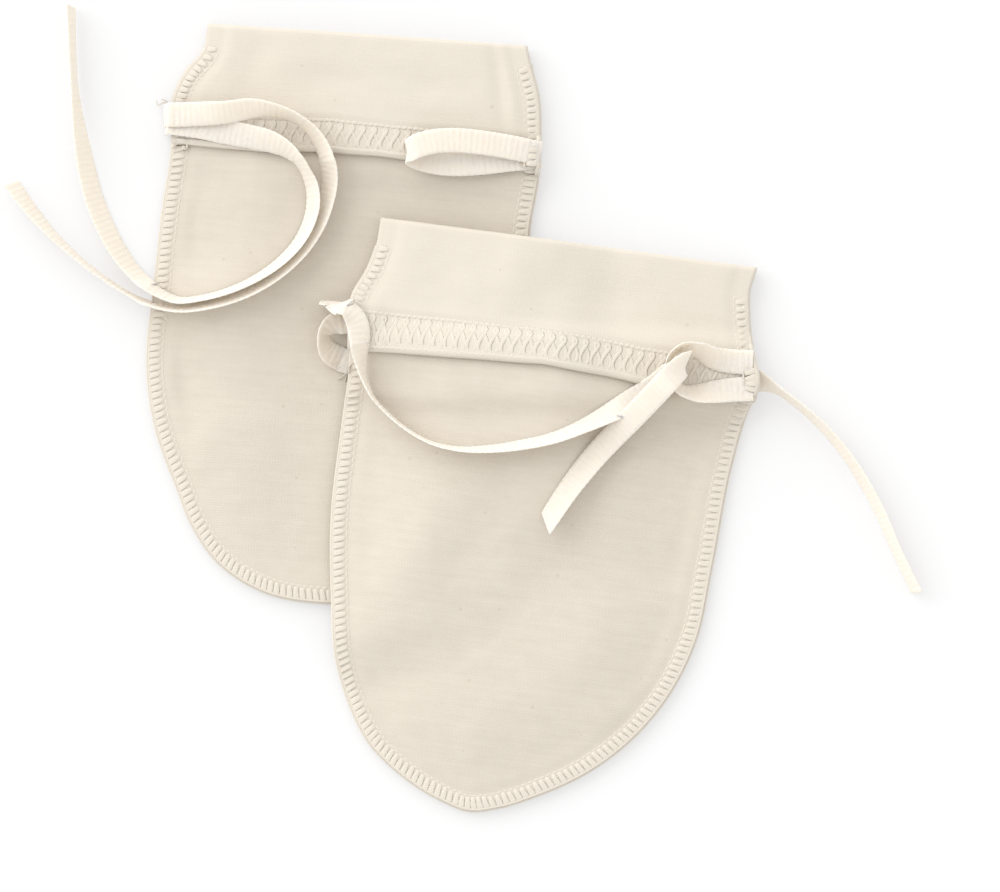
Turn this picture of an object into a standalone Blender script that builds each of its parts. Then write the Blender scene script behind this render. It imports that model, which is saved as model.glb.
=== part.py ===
"""A pair of newborn scratch mittens in cotton jersey, laid flat on a table.

Each mitten is a front and a back panel, overlocked together round the sides and the toe. The
cuff of both panels is turned to the outside and its raw edge is left showing. A folded tape
caught in the left seam gives two tails, and a short tape caught in the right seam makes the
loop that they thread through. The front mitten lies partly on the rear one.

Sizes are in millimetres and MM turns them into metres. A mitten's own frame has x to the right
and "down" from the cuff fold to the toe. The table's frame has its origin on the table, under
the middle of the pair, with +Y towards the cuffs and +Z up.
"""

import math
from collections import namedtuple

import bpy
import numpy as np

MM = 0.001

# Cloth
CLOTH = 1.0  # wall of the jersey
GAP = 0.3  # between one layer and the next
PITCH = CLOTH + GAP  # from the middle of one layer to the middle of the next
HEM_DEPTH = 26.0  # from the cuff fold to the raw edge on the outside
HEM_RAMP = 7.0  # length over which the body settles past the raw edge
SEAM_WIDTH = 3.4  # flat overlocked margin round the sides and toe
CUFF_LOFT = 0.7  # air between the panels at the mouth
BODY_LOFT = 3.0  # and in the middle of the hand
LOFT_RISE = 19.0  # distance from the seam over which the loft grows
LOFT_FULLNESS = 0.7  # below 1, the loft grows sooner near the seam
BODY_START = 2.0  # the body starts to rise this far above the raw edge
BODY_RISE = 9.0  # and this is the length over which it rises
CREASE_END = 4.0  # distance from the overlock over which a fold fades out

# How the front mitten lies on the rear one
DRAPE_MARGIN = 4.5  # how far it runs on level past the rear mitten's seam
DRAPE_FALL = 15.0  # and the length over which it then comes down to the table
PRESSED_REACH = 26.0  # how far round it the rear mitten is pressed flat
OVER_TAPE = 1.3  # rise of the front mitten over the tape hidden under it
TAIL_EXIT = (65.0, 7.0)  # where that tape turns on its edge as it comes out
EXIT_RISE = 1.6
EXIT_REACH = 9.0

# Tie tape
TAPE_WIDTH = 5.1
TAPE = 0.6  # its thickness
STEEPEST = 0.3  # a route whose level part is shorter than this goes straight up or down

# Steps of the meshes
HEM_STEPS = 5  # rows between the raw edge and the fold
FOLD_STEPS = 4  # rows round the cuff fold
BODY_STEP = 5.2  # between the rows of the body
SPOKE_STEPS = 7  # from the overlock to the middle
TOE_SPOKES = 18
SEAM_SAMPLES = 8  # seam points in each span of the table
TAPE_SAMPLES = 3  # tape rows in each span of its route

JERSEY_COLOUR = (0.76, 0.69, 0.58, 1.0)
TAPE_COLOUR = (0.86, 0.79, 0.68, 1.0)

Section = namedtuple("Section", "down left right")
Crease = namedtuple("Crease", "x down angle length width depth")
Stop = namedtuple("Stop", "x y lift turn")
Bow = namedtuple("Bow", "x at_edge")
Mitten = namedtuple("Mitten", "name cuff_x cuff_y tilt round_from sections creases hem")

# Half widths of the rear mitten at each depth; the last row is the tip of the toe.
REAR_SECTIONS = [
    Section(0.0, 33.5, 33.5),
    Section(5.0, 34.0, 35.0),
    Section(10.0, 37.5, 36.6),
    Section(17.0, 40.0, 37.5),
    Section(25.0, 39.3, 37.8),
    Section(38.0, 40.3, 36.6),
    Section(55.0, 41.0, 37.5),
    Section(72.0, 41.4, 38.0),
    Section(84.0, 39.0, 36.8),
    Section(97.0, 33.4, 32.0),
    Section(105.0, 29.5, 27.0),
    Section(112.0, 23.8, 20.0),
    Section(117.3, 14.5, 10.5),
    Section(119.0, 1.0, -1.0),
]

# Half widths of the front mitten, whose right end of the cuff stands out as a point.
FRONT_SECTIONS = [
    Section(0.0, 39.3, 40.0),
    Section(5.0, 39.5, 39.2),
    Section(10.0, 40.6, 39.8),
    Section(17.0, 43.2, 41.4),
    Section(24.0, 42.9, 43.4),
    Section(30.0, 41.8, 41.9),
    Section(42.0, 41.7, 40.1),
    Section(63.0, 41.4, 38.9),
    Section(80.0, 39.1, 37.3),
    Section(92.0, 36.8, 32.9),
    Section(101.0, 33.0, 27.0),
    Section(109.0, 27.6, 18.9),
    Section(115.4, 19.0, 8.8),
    Section(119.0, 11.0, 1.0),
    Section(120.4, 5.0, -5.0),
]

# Folds of each front panel: middle, heading, half length, half width and height.
REAR_CREASES = [
    Crease(28.4, 9.5, 79.0, 11.0, 1.7, -0.56),
    Crease(31.3, 9.5, 79.0, 11.0, 1.7, 0.62),
    Crease(-23.5, 8.0, 95.0, 9.0, 4.0, -0.5),
    Crease(-9.0, 10.5, -8.0, 10.0, 3.5, -0.5),
    Crease(13.0, 9.5, 5.0, 7.0, 3.5, -0.44),
    Crease(-22.0, 43.0, 5.0, 15.0, 9.0, -1.35),
    Crease(-27.0, 56.0, 4.0, 17.0, 5.5, 0.9),
    Crease(-23.0, 75.0, 6.0, 19.0, 8.0, -1.35),
    Crease(-16.0, 108.0, 30.0, 6.0, 4.0, 0.38),
    Crease(-30.0, 92.0, 115.0, 10.0, 4.0, 0.45),
]
FRONT_CREASES = [
    Crease(-25.0, 12.0, 85.0, 10.0, 5.0, -0.5),
    Crease(-10.5, 8.0, 95.0, 8.0, 4.0, 0.5),
    Crease(-1.0, 9.0, 100.0, 8.0, 4.0, -0.5),
    Crease(9.0, 10.0, 0.0, 10.0, 3.5, -0.44),
    Crease(6.0, 38.0, 5.0, 15.0, 5.0, -0.35),
    Crease(-14.0, 47.0, 60.0, 15.0, 8.0, 0.75),
    Crease(6.0, 43.0, 95.0, 20.0, 11.0, 0.9),
    Crease(26.0, 44.0, 92.0, 22.0, 9.0, -1.5),
    Crease(13.0, 66.0, 5.0, 20.0, 7.0, -0.9),
    Crease(-23.5, 67.0, 118.0, 23.0, 7.5, 1.05),
    Crease(-12.5, 73.0, 118.0, 24.0, 7.5, -0.9),
    Crease(28.0, 71.0, 0.0, 7.0, 3.5, 0.45),
    Crease(22.0, 97.0, -20.0, 8.0, 4.0, 0.45),
    Crease(-18.0, 105.0, 40.0, 8.0, 4.0, 0.45),
    Crease(12.0, 84.0, 70.0, 12.0, 7.0, 0.45),
]

# How far the raw edge of each turned cuff runs below its usual depth.
REAR_HEM = [
    Bow(-42.0, -0.9),
    Bow(-20.0, -0.3),
    Bow(-6.0, -1.3),
    Bow(5.0, -0.9),
    Bow(20.0, -0.4),
    Bow(40.0, 0.0),
]
FRONT_HEM = [
    Bow(-45.0, 2.0),
    Bow(-38.0, 1.7),
    Bow(-21.0, 0.5),
    Bow(-2.0, -0.6),
    Bow(11.0, 0.1),
    Bow(18.0, 1.0),
    Bow(45.0, 1.9),
]

REAR = Mitten("rear_mitten", -17.6, 79.4, 4.0, 74.0, REAR_SECTIONS, REAR_CREASES, REAR_HEM)
FRONT = Mitten("front_mitten", 24.2, 35.9, 7.5, 76.0, FRONT_SECTIONS, FRONT_CREASES, FRONT_HEM)

# Routes of the tapes on the table. Lift is the height over what the tape lies on, and turn is
# how far the tape leans from lying flat, in degrees.
REAR_OUTER_TAIL = [
    Stop(-60.2, 62.8, 1.2, 0),
    Stop(-53.3, 62.9, 1.2, 8),
    Stop(-46.6, 63.2, 1.3, 28),
    Stop(-41.6, 63.9, 0.8, 38),
    Stop(-37.4, 63.6, 0.3, 56),
    Stop(-31.8, 61.6, 0.0, 68),
    Stop(-28.4, 58.5, 0.0, 60),
    Stop(-26.2, 54.3, 0.0, 52),
    Stop(-25.4, 49.3, 0.0, 48),
    Stop(-26.3, 44.6, 0.0, 45),
    Stop(-27.9, 40.3, 0.0, 44),
    Stop(-30.4, 36.0, 0.0, 47),
    Stop(-34.1, 31.8, 0.0, 51),
    Stop(-39.0, 27.9, 0.0, 56),
    Stop(-44.9, 24.8, 0.0, 62),
    Stop(-51.0, 23.1, 0.0, 66),
    Stop(-56.8, 22.4, 0.0, 71),
    Stop(-62.3, 23.2, 0.2, 76),
    Stop(-66.6, 25.0, 0.2, 80),
    Stop(-72.5, 28.6, 0.0, 80),
    Stop(-77.9, 32.7, 0.0, 78),
    Stop(-83.0, 37.4, 0.0, 72),
    Stop(-87.5, 42.4, 0.0, 62),
    Stop(-92.3, 48.8, 0.0, 54),
]
REAR_INNER_TAIL = [
    Stop(-59.8, 61.4, 0.3, 0),
    Stop(-53.3, 60.5, 0.2, 0),
    Stop(-46.6, 59.1, 0.0, 3),
    Stop(-41.6, 58.1, 0.0, 14),
    Stop(-37.4, 57.0, 0.0, 32),
    Stop(-33.7, 55.0, 0.0, 54),
    Stop(-31.0, 52.0, 0.0, 68),
    Stop(-29.2, 48.2, 0.0, 58),
    Stop(-28.9, 44.0, 0.0, 54),
    Stop(-30.0, 39.8, 0.0, 57),
    Stop(-32.2, 35.9, 0.0, 61),
    Stop(-35.7, 32.2, 0.0, 65),
    Stop(-40.3, 28.9, 0.0, 70),
    Stop(-45.9, 26.2, 0.0, 73),
    Stop(-51.8, 24.6, 0.0, 75),
    Stop(-57.4, 24.2, 0.0, 73),
    Stop(-61.7, 26.0, 0.0, 66),
    Stop(-65.4, 29.0, 0.0, 56),
    Stop(-69.5, 34.0, 0.0, 46),
    Stop(-72.6, 39.7, 0.0, 42),
    Stop(-74.9, 45.5, 0.0, 42),
    Stop(-76.4, 51.5, 0.0, 46),
    Stop(-77.5, 57.5, 0.0, 57),
    Stop(-78.4, 63.5, 0.0, 70),
    Stop(-79.0, 69.4, 0.0, 78),
    Stop(-79.4, 76.0, 0.0, 78),
    Stop(-79.7, 85.8, 0.0, 75),
]
REAR_LOOP = [
    Stop(18.6, 54.3, 0.0, 0),
    Stop(12.0, 53.5, 0.0, 0),
    Stop(5.0, 52.7, 0.0, 0),
    Stop(-1.0, 52.6, 0.1, 0),
    Stop(-5.2, 53.3, 0.4, 0),
    Stop(-8.1, 54.3, 1.0, 0),
    Stop(-9.1, 54.9, 2.0, 0),
    Stop(-8.1, 55.6, 3.0, 0),
    Stop(-4.8, 56.8, 3.3, 0),
    Stop(0.0, 57.3, 3.0, 0),
    Stop(6.0, 56.9, 2.2, 0),
    Stop(12.0, 56.0, 1.5, 0),
    Stop(18.6, 54.7, 0.9, 0),
]
FRONT_LOOP = [
    Stop(62.8, 5.6, 0.0, 0),
    Stop(58.4, 5.4, 0.0, 8),
    Stop(54.2, 4.9, 0.0, 26),
    Stop(50.4, 4.6, 0.2, 48),
    Stop(47.2, 5.6, 1.1, 66),
    Stop(45.2, 8.4, 1.3, 74),
    Stop(45.3, 11.8, 1.3, 76),
    Stop(48.0, 14.2, 0.9, 72),
    Stop(51.4, 13.7, 0.3, 50),
    Stop(54.8, 12.0, 0.0, 24),
    Stop(58.6, 11.3, 0.0, 6),
    Stop(62.8, 11.1, 0.0, 0),
]
FRONT_THREADED_TAIL = [
    Stop(-27.4, 23.7, 0.6, -80),
    Stop(-24.4, 23.2, 0.8, -72),
    Stop(-21.4, 22.0, 0.9, -44),
    Stop(-19.6, 19.4, 0.8, -26),
    Stop(-19.0, 15.8, 0.5, -34),
    Stop(-18.8, 12.0, 0.2, -56),
    Stop(-18.2, 8.0, 0.0, -76),
    Stop(-16.4, 4.0, 0.0, -84),
    Stop(-13.0, 0.2, 0.0, -85),
    Stop(-9.0, -3.0, 0.0, -85),
    Stop(-4.2, -5.6, 0.0, -84),
    Stop(1.4, -6.9, 0.0, -80),
    Stop(8.0, -6.9, 0.0, -73),
    Stop(14.4, -6.1, 0.0, -67),
    Stop(21.3, -4.6, 0.0, -63),
    Stop(27.4, -2.2, 0.0, -55),
    Stop(33.0, 0.6, 0.0, -36),
    Stop(38.0, 3.4, 0.0, -12),
    Stop(42.0, 5.8, 0.0, -3),
    Stop(45.0, 8.2, 0.0, 0),
    Stop(47.3, 10.1, 0.2, -26),
    Stop(48.8, 11.2, 2.6, -60),
    Stop(47.8, 10.4, 5.4, -35),
    Stop(45.2, 7.7, 6.4, 0),
    Stop(41.8, 4.0, 5.2, 0),
    Stop(37.4, -0.6, 3.6, 0),
    Stop(33.4, -4.6, 2.0, 4),
    Stop(30.6, -7.6, 0.9, 12),
    Stop(25.2, -14.2, 0.0, 26),
    Stop(19.6, -22.4, 0.0, 38),
]
FRONT_HIDDEN_TAIL = [
    Stop(-22.1, 19.7, 1.8, 0),
    Stop(-24.8, 19.0, 1.0, -34),
    Stop(-26.6, 16.8, 0.1, -60),
    Stop(-25.8, 13.6, 0.0, -34),
    Stop(-23.2, 11.9, 0.0, 0),
    Stop(-12.0, 10.4, 0.0, 0),
    Stop(0.0, 9.8, 0.0, 0),
    Stop(16.0, 10.0, 0.0, 0),
    Stop(32.0, 10.0, 0.0, 0),
    Stop(48.0, 9.4, 0.0, 0),
    Stop(59.0, 8.4, 0.0, 0),
    Stop(62.6, 7.8, 0.0, 10),
    Stop(65.4, 6.9, 0.0, 48),
    Stop(68.2, 5.4, 0.0, 72),
    Stop(71.8, 2.8, 0.0, 76),
    Stop(76.2, -0.9, 0.0, 74),
    Stop(81.0, -6.1, 0.0, 71),
    Stop(85.6, -12.7, 0.0, 69),
    Stop(89.6, -20.0, 0.0, 69),
    Stop(93.2, -28.4, 0.0, 71),
    Stop(97.4, -37.0, 0.0, 70),
]


def ease(t):
    """0 below 0, 1 above 1, and a smooth rise between."""
    t = np.clip(t, 0.0, 1.0)
    return t * t * (3.0 - 2.0 * t)


def smooth(rows, samples):
    """Rows read from a smooth curve through the given ones, with the same number in each span."""
    rows = np.array(rows, float)
    span = np.linalg.norm(np.diff(rows[:, :3], axis=0), axis=1)[:, None]
    slope = np.diff(rows, axis=0) / span
    tangent = np.concatenate(
        [
            slope[:1],
            (slope[:-1] * span[1:] + slope[1:] * span[:-1]) / (span[1:] + span[:-1]),
            slope[-1:],
        ]
    )
    t = (np.arange(samples) / samples)[:, None]
    pieces = []
    for i, length in enumerate(span):
        pieces.append(
            (2 * t**3 - 3 * t**2 + 1) * rows[i]
            + (t**3 - 2 * t**2 + t) * length * tangent[i]
            + (3 * t**2 - 2 * t**3) * rows[i + 1]
            + (t**3 - t**2) * length * tangent[i + 1]
        )
    return np.concatenate([*pieces, rows[-1:]])


def seam_line(mitten):
    """The overlocked edge, from the left end of the cuff round the toe to the right end."""
    left = [(-s.left, s.down, 0.0) for s in mitten.sections]
    right = [(s.right, s.down, 0.0) for s in reversed(mitten.sections[:-1])]
    return smooth(left + right, SEAM_SAMPLES)[:, :2]


def distance(line, x, y):
    """Distance from each point to a line of points."""
    start, along = line[:-1], np.diff(line, axis=0)
    away = np.stack([x, y], axis=-1)[..., None, :] - start
    share = np.clip((away * along).sum(-1) / (along * along).sum(-1), 0.0, 1.0)
    return np.linalg.norm(away - share[..., None] * along, axis=-1).min(-1)


def inward(line, x, y):
    """Distance from each point to a line whose ends join, positive inside it."""
    loop = np.concatenate([line, line[:1]])
    (x0, y0), (x1, y1) = loop[:-1].T, loop[1:].T
    level = y[..., None]
    beside = (y0 > level) != (y1 > level)
    rise = np.where(y1 == y0, 1.0, y1 - y0)
    crossed = beside & (x[..., None] < x0 + (level - y0) * (x1 - x0) / rise)
    sign = np.where(crossed.sum(-1) % 2 == 1, 1.0, -1.0)
    return sign * distance(loop, x, y)


def to_table(mitten, x, down):
    """A point of a mitten's own frame in the table's."""
    c, s = math.cos(math.radians(mitten.tilt)), math.sin(math.radians(mitten.tilt))
    return mitten.cuff_x + c * x - s * down, mitten.cuff_y - s * x - c * down


def to_mitten(mitten, x, y):
    """A point of the table's frame in a mitten's own."""
    c, s = math.cos(math.radians(mitten.tilt)), math.sin(math.radians(mitten.tilt))
    east, north = x - mitten.cuff_x, y - mitten.cuff_y
    return c * east - s * north, -s * east - c * north


def table_outline(mitten):
    """A mitten's outline in the table's frame."""
    return np.stack(to_table(mitten, *seam_line(mitten).T), axis=-1)


def ground(mitten, x, y):
    """Height of what a mitten's underside lies on."""
    if mitten is REAR:
        return np.zeros_like(x)
    beyond = -inward(table_outline(REAR), x, y) - DRAPE_MARGIN
    over_rear = 2 * PITCH * (1.0 - ease(beyond / DRAPE_FALL))
    hidden = np.array([(stop.x, stop.y) for stop in FRONT_HIDDEN_TAIL])
    beside = distance(hidden, x, y) - TAPE_WIDTH
    over_tape = OVER_TAPE * (1.0 - ease(beside / TAPE_WIDTH))
    from_exit = np.hypot(x - TAIL_EXIT[0], y - TAIL_EXIT[1])
    return over_rear + over_tape + EXIT_RISE * (1.0 - ease(from_exit / EXIT_REACH))


def loft(mitten, x, down):
    """Air between a mitten's panels, with the folds that stand up or sink in the front one."""
    inside = distance(seam_line(mitten), x, down) - SEAM_WIDTH
    rise = ease((down - HEM_DEPTH + BODY_START) / BODY_RISE)
    belly = CUFF_LOFT + (BODY_LOFT - CUFF_LOFT) * rise
    height = belly * ease(inside / LOFT_RISE) ** LOFT_FULLNESS
    for fold in mitten.creases:
        c, s = math.cos(math.radians(fold.angle)), math.sin(math.radians(fold.angle))
        along = (c * (x - fold.x) + s * (down - fold.down)) / fold.length
        across = (c * (down - fold.down) - s * (x - fold.x)) / fold.width
        height = height + fold.depth * np.exp(-(along**2) - across**2) * ease(inside / CREASE_END)
    if mitten is REAR:
        outside = -inward(table_outline(FRONT), *to_table(mitten, x, down))
        height = height * ease((outside - DRAPE_MARGIN) / PRESSED_REACH)
    return np.maximum(height, 0.0)


def back_height(mitten, x, down):
    """Middle of the back panel's body: on its turned cuff, then on the ground."""
    on_hem = 1.0 - ease((down - HEM_DEPTH) / HEM_RAMP)
    return ground(mitten, *to_table(mitten, x, down)) + CLOTH / 2 + PITCH * on_hem


def front_height(mitten, x, down):
    """Middle of the front panel's body."""
    return back_height(mitten, x, down) + PITCH + loft(mitten, x, down)


def top_height(mittens, x, y):
    """Top of the cloth at points of the table, and 0 where there is none."""
    top = np.zeros_like(x)
    for mitten in mittens:
        own_x, down = to_mitten(mitten, x, y)
        raw_edge = HEM_DEPTH + np.interp(own_x, *np.array(mitten.hem).T)
        turned = np.where(down < raw_edge + GAP, PITCH, 0.0)
        cloth = front_height(mitten, own_x, down) + turned + CLOTH / 2
        inside = inward(seam_line(mitten), own_x, down) > -GAP
        top = np.maximum(top, np.where(inside, cloth, 0.0))
    return top


def spoke(edge, centre):
    """Points from the seam to the middle, the second at the inner side of the overlock."""
    shares = np.linspace(SEAM_WIDTH / np.linalg.norm(centre - edge), 1.0, SPOKE_STEPS)
    return edge + np.concatenate([[0.0], shares])[:, None] * (centre - edge)


def panel_plan(mitten):
    """The panel's mesh laid out flat: x and down, share of the turn outward, and the faces.

    Rows run from seam to seam, from the raw edge up to the cuff fold and down the body to
    the round of the toe, where spokes fan out from the middle of the last row.
    """
    seam = seam_line(mitten)
    tip = int(np.argmax(seam[:, 1]))
    left, right = seam[: tip + 1], seam[tip:][::-1]
    round_from = mitten.round_from
    radius = PITCH / 2
    hem = np.linspace(HEM_DEPTH, radius, HEM_STEPS + 1)
    turn = np.linspace(math.pi, 0.0, FOLD_STEPS + 1)[1:-1]
    settle = np.linspace(HEM_DEPTH, HEM_DEPTH + HEM_RAMP, 4)[1:-1]
    count = round((round_from - HEM_DEPTH - HEM_RAMP) / BODY_STEP)
    body = np.linspace(HEM_DEPTH + HEM_RAMP, round_from, count + 1)
    downs = np.concatenate([hem, radius * (1 - np.sin(turn)), hem[::-1], settle, body])
    turned = np.concatenate(
        [np.ones(len(hem)), (1 - np.cos(turn)) / 2, np.zeros(len(hem) + len(settle) + len(body))]
    )

    points, shares, faces = [], [], []
    for down, share in zip(downs, turned):
        ends = [np.array([np.interp(down, side[:, 1], side[:, 0]), down]) for side in (left, right)]
        middle = sum(ends) / 2
        row = np.concatenate([spoke(ends[0], middle), spoke(ends[1], middle)[-2::-1]])
        points.extend(row)
        shares.extend([share] * len(row))
    width = 2 * SPOKE_STEPS + 1
    for row in range(len(downs) - 1):
        for i in range(row * width, row * width + width - 1):
            faces.append((i, i + 1, i + 1 + width, i + width))

    last = (len(downs) - 1) * width
    pole = last + SPOKE_STEPS
    toe = seam[seam[:, 1] > round_from]
    toe = np.concatenate([[points[last]], toe, [points[last + width - 1]]])
    run = np.concatenate([[0.0], np.cumsum(np.linalg.norm(np.diff(toe, axis=0), axis=1))])
    at = np.linspace(0.0, run[-1], TOE_SPOKES + 1)[1:-1]
    before = list(range(last, pole + 1))
    for edge in zip(np.interp(at, run, toe[:, 0]), np.interp(at, run, toe[:, 1])):
        first = len(points)
        points.extend(spoke(np.array(edge), points[pole])[:-1])
        faces.extend(fan(before, [*range(first, first + SPOKE_STEPS), pole]))
        before = [*range(first, first + SPOKE_STEPS), pole]
    faces.extend(fan(before, list(range(last + width - 1, pole - 1, -1))))
    shares.extend([0.0] * (len(points) - len(shares)))
    return np.array(points), np.array(shares), faces


def fan(before, after):
    """Faces between two spokes that share their last point."""
    steps = range(len(before) - 2)
    quads = [(before[i], before[i + 1], after[i + 1], after[i]) for i in steps]
    return [*quads, (before[-2], before[-1], after[-2])]


def build_sheet(name, points, faces, thickness, material, parts):
    """A wall of the given thickness on an open surface in millimetres."""
    mesh = bpy.data.meshes.new(name)
    mesh.from_pydata([tuple(point) for point in np.asarray(points) * MM], [], faces)
    mesh.materials.append(material)
    mesh.shade_smooth()
    sheet = bpy.data.objects.new(name, mesh)
    parts.objects.link(sheet)
    wall = sheet.modifiers.new("wall", "SOLIDIFY")
    wall.thickness = thickness * MM
    wall.offset = 0.0
    wall.use_even_offset = True
    wall.use_quality_normals = True


def hem_shift(mitten, x, down):
    """How far a place on the turned cuff lies below its usual depth, all of it at the raw edge."""
    at_edge = np.interp(x, *np.array(mitten.hem).T)
    return at_edge * ease(down / HEM_DEPTH)


def build_panel(mitten, side, material, parts):
    """One panel with its turned cuff, which lies outside: over a front, under a back."""
    plan, turned, faces = panel_plan(mitten)
    height, outward = {"front": (front_height, 1.0), "back": (back_height, -1.0)}[side]
    x, down = plan.T
    down = down + np.where(turned >= 1.0, hem_shift(mitten, x, down), 0.0)
    z = height(mitten, x, down) + outward * PITCH * turned
    points = np.column_stack([*to_table(mitten, x, down), z])
    build_sheet(f"{mitten.name}_{side}_panel", points, faces, CLOTH, material, parts)


def tape_route(stops, rests_on, across=None):
    """Middle line of a tape in space, and the direction of its width at each point.

    A tape with a given direction across keeps it round its bends; the others lean by the
    turn of their stops.
    """
    rows = smooth(stops, TAPE_SAMPLES)
    plan, lift, turn = rows[:, :2], rows[:, 2], np.radians(rows[:, 3])
    upright = np.column_stack([plan, lift])
    heading = np.gradient(upright, axis=0)
    heading /= np.linalg.norm(heading, axis=1)[:, None]
    sides = []
    for ahead, lean in zip(heading, turn):
        if across is None:
            level = np.array([-ahead[1], ahead[0], 0.0])
            if sides and (np.linalg.norm(level) < STEEPEST or level @ flat < 0):
                level = flat if np.linalg.norm(level) < STEEPEST else -level
        else:
            level = np.array(across) - ahead * (ahead @ np.array(across))
        flat = level / np.linalg.norm(level)
        sides.append(math.cos(lean) * flat + math.sin(lean) * np.cross(ahead, flat))
    sides = np.array(sides)
    reach = np.array([-1.0, -0.5, 0.0, 0.5, 1.0])[:, None] * (TAPE_WIDTH / 2 + GAP)
    foot = plan[:, None, :] + reach * sides[:, None, :2]
    under = top_height(rests_on, foot[..., 0], foot[..., 1]).max(1)
    for _ in range(TAPE_SAMPLES):
        under[1:-1] = np.maximum(under[1:-1], (under[:-2] + under[2:]) / 2)
    under[0] = under[1]
    half = np.abs(np.sin(turn)) * TAPE_WIDTH / 2 + np.cos(turn) * TAPE / 2
    return np.column_stack([plan, under + GAP + half + lift]), sides


def build_tape(name, stops, rests_on, material, parts, across=None):
    """A flat tape along its route."""
    middle, sides = tape_route(stops, rests_on, across)
    edges = [middle - sides * TAPE_WIDTH / 2, middle + sides * TAPE_WIDTH / 2]
    points = np.stack(edges, axis=1).reshape(-1, 3)
    faces = [(i, i + 1, i + 3, i + 2) for i in range(0, len(points) - 2, 2)]
    build_sheet(name, points, faces, TAPE, material, parts)


def cloth_material(name, colour):
    """Matt cotton."""
    material = bpy.data.materials.new(name)
    material.use_nodes = True
    shader = material.node_tree.nodes["Principled BSDF"]
    shader.inputs["Base Color"].default_value = colour
    shader.inputs["Roughness"].default_value = 0.9
    shader.inputs["Metallic"].default_value = 0.0
    return material


def main():
    for old in list(bpy.data.objects):
        bpy.data.objects.remove(old, do_unlink=True)
    parts = bpy.data.collections.new("baby_mittens")
    bpy.context.scene.collection.children.link(parts)
    jersey = cloth_material("jersey", JERSEY_COLOUR)
    tape = cloth_material("tie_tape", TAPE_COLOUR)

    for mitten in (REAR, FRONT):
        for side in ("back", "front"):
            build_panel(mitten, side, jersey, parts)

    build_tape("rear_mitten_outer_tail", REAR_OUTER_TAIL, [REAR], tape, parts)
    build_tape("rear_mitten_inner_tail", REAR_INNER_TAIL, [REAR], tape, parts)
    build_tape("rear_mitten_loop", REAR_LOOP, [REAR], tape, parts, across=(0.0, 1.0, 0.0))
    build_tape("front_mitten_threaded_tail", FRONT_THREADED_TAIL, [REAR, FRONT], tape, parts)
    build_tape("front_mitten_hidden_tail", FRONT_HIDDEN_TAIL, [REAR], tape, parts)
    build_tape("front_mitten_loop", FRONT_LOOP, [FRONT], tape, parts)


main()
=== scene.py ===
"""Looks of the pair of baby mittens: jersey panels, overlock, cover stitch and tape ties.

Shape tables are in millimetres and MM turns them into metres. A mitten's own frame has x to the
right and "down" from the cuff fold to the toe. The table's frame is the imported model's.
"""

import math
from collections import namedtuple

import bpy
import numpy as np
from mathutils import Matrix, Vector, noise


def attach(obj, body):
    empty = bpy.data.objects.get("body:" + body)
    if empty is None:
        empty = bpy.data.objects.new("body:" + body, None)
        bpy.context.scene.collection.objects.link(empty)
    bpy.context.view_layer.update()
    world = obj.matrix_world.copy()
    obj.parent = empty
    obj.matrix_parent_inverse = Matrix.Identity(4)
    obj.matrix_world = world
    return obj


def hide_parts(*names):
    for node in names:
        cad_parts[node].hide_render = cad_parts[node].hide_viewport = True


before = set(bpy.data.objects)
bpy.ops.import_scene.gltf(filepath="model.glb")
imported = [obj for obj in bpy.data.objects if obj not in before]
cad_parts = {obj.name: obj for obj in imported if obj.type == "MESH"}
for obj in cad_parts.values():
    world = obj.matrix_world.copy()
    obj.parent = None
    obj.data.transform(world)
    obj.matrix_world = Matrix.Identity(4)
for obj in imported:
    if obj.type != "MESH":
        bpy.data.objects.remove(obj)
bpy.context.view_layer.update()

MM = 0.001

# Cloth
WALL = 0.75  # thickness of the jersey
PITCH = 1.3  # from the middle of one layer to the middle of the next
SQUEEZED = 0.9  # the same where the overlock presses the layers together
SQUEEZE_REACH = 9.0
HEM_DEPTH = 26.0  # from the cuff fold to the raw edge on the outside
HEM_RAMP = 7.0  # length over which the body settles past the raw edge
SEAM_WIDTH = 3.4  # overlocked margin round the sides and toe
SEAM_LIFT = 0.45  # height of the sewn edge over the table, with thread under it
CUFF_LOFT = 0.7  # air between the panels at the mouth
BODY_LOFT = 3.0  # and in the middle of the hand
LOFT_RISE = 19.0  # distance from the seam over which the loft grows
LOFT_FULLNESS = 0.7  # below 1, the loft grows sooner near the seam
BROAD_WAVES = (0.22, 14.0)  # height and size of the cloth's broad unevenness
SMALL_WAVES = (0.09, 5.5)  # and of its small one
WAVE_END = 6.0  # distance from the overlock over which both fade out
PUCKER = 0.22  # depth of the groove that the needle thread draws beside the overlock
PUCKER_INSET = 0.3  # distance of the groove from the overlock, and its half width
PUCKER_WIDE = 0.8
SEAM_REACH = 5.0  # distance from the overlock over which the sewn edge comes down
CREASE_END = 4.0  # distance from the overlock over which a fold fades out
BODY_START = 2.0  # the body starts to rise this far above the raw edge
BODY_RISE = 9.0  # and this is the length over which it rises

# How the front mitten lies on the rear one
DRAPE_MARGIN = 4.5  # how far it runs on level past the rear mitten's seam
DRAPE_FALL = 15.0  # and the length over which it then comes down to the table
PRESSED_REACH = 26.0  # how far round it the rear mitten is pressed flat
OVER_TAPE = 1.3  # rise of the front mitten over the tape hidden under it
TAIL_EXIT = (65.0, 7.0)  # where that tape turns on its edge as it comes out
EXIT_RISE = 1.6
EXIT_REACH = 9.0

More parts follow.
